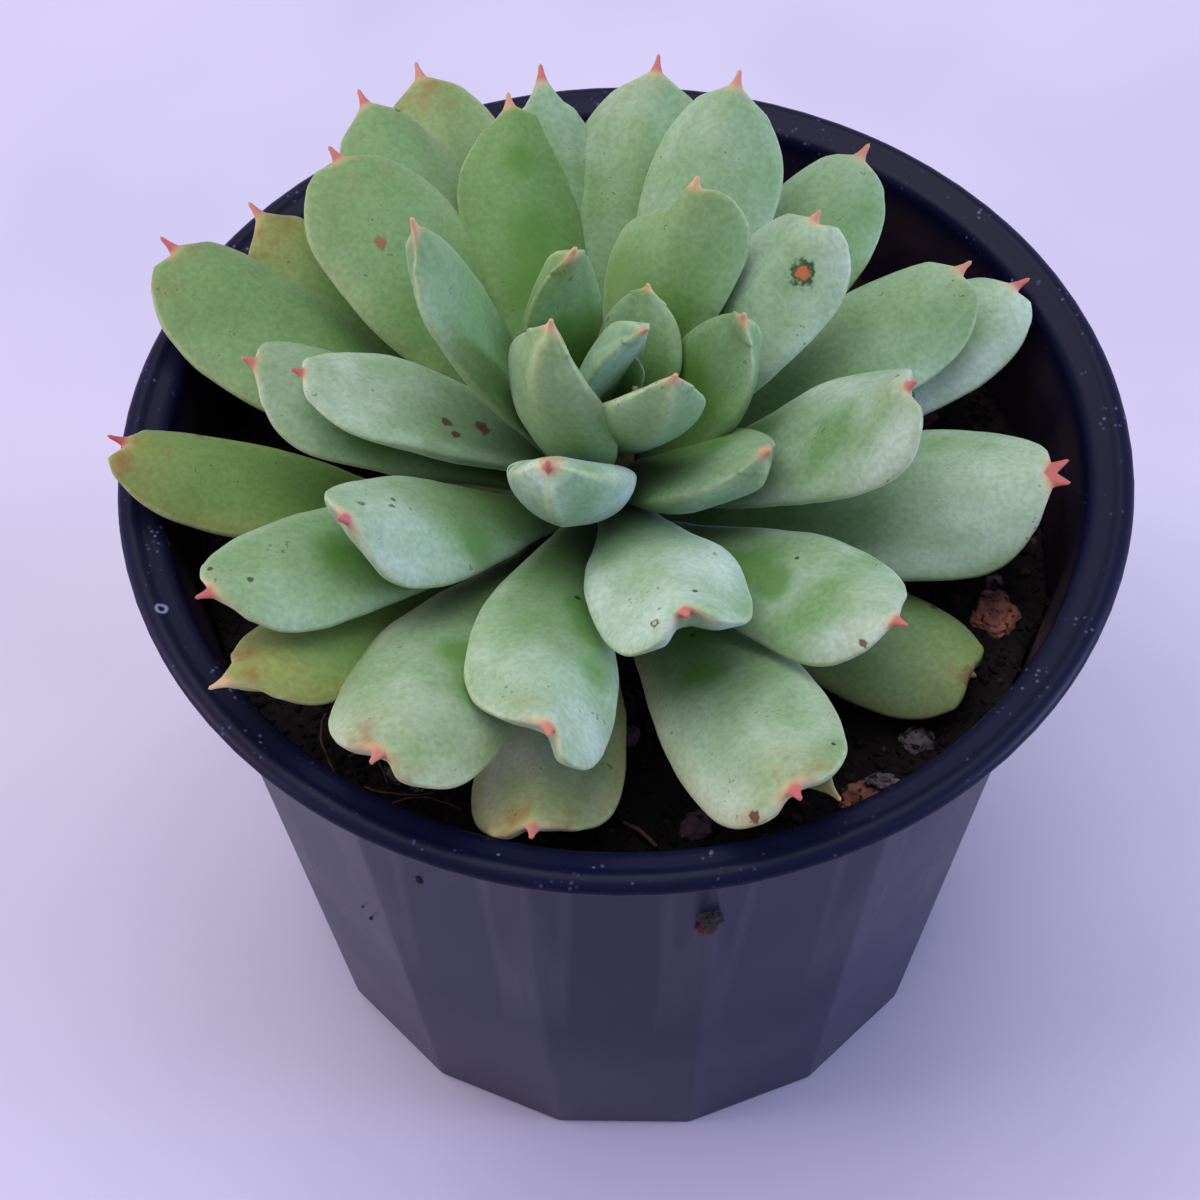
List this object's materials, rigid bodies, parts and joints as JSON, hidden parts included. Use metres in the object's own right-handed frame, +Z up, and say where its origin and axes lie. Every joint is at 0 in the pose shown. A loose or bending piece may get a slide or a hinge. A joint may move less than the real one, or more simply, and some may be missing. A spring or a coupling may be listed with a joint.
{
  "type": "potted echeveria",
  "caption": "Succulent rosette of thick, spoon-shaped green leaves with small red tips, rooted on a short stem in gritty soil in a dark facetted nursery pot.",
  "frame": {"origin": "centre of the underside of the pot's base, on the ground", "axes": "+Z up along the pot's axis; -Y towards the front of the picture, square to one facet of the wall; +X to the right of the picture"},
  "size_m": [0.1, 0.1, 0.1106],
  "materials": {
    "pot": "satin, injection moulded, lightly dusted",
    "soil": "coarse, dry on top",
    "stem": "matte",
    "leaf": "glaucous, waxy bloom",
    "pumice": "rough, porous",
    "perlite": "rough, porous",
    "pebble": "rough"
  },
  "bodies": {
    "root": {"leaf_01": "leaf", "leaf_02": "leaf", "leaf_03": "leaf", "leaf_04": "leaf", "leaf_05": "leaf", "leaf_06": "leaf", "leaf_07": "leaf", "leaf_08": "leaf", "leaf_09": "leaf", "leaf_10": "leaf", "leaf_11": "leaf", "leaf_12": "leaf", "leaf_13": "leaf", "leaf_14": "leaf", "leaf_15": "leaf", "leaf_16": "leaf", "leaf_17": "leaf", "leaf_18": "leaf", "leaf_19": "leaf", "leaf_20": "leaf", "leaf_21": "leaf", "leaf_22": "leaf", "leaf_23": "leaf", "leaf_24": "leaf", "leaf_25": "leaf", "leaf_26": "leaf", "leaf_27": "leaf", "leaf_28": "leaf", "leaf_29": "leaf", "leaf_30": "leaf", "leaf_31": "leaf", "leaf_32": "leaf", "leaf_33": "leaf", "leaf_34": "leaf", "leaf_35": "leaf", "leaf_36": "leaf", "leaf_37": "leaf", "leaf_38": "leaf", "leaf_39": "leaf", "leaf_40": "leaf", "leaf_41": "leaf", "pebble_back": "pebble", "pebble_front": "pebble", "perlite_front": "perlite", "perlite_left": "perlite", "pot": "pot", "pumice_front": "pumice", "pumice_right": "pumice", "soil": "soil", "stem": "stem"}
  },
  "joints": []
}
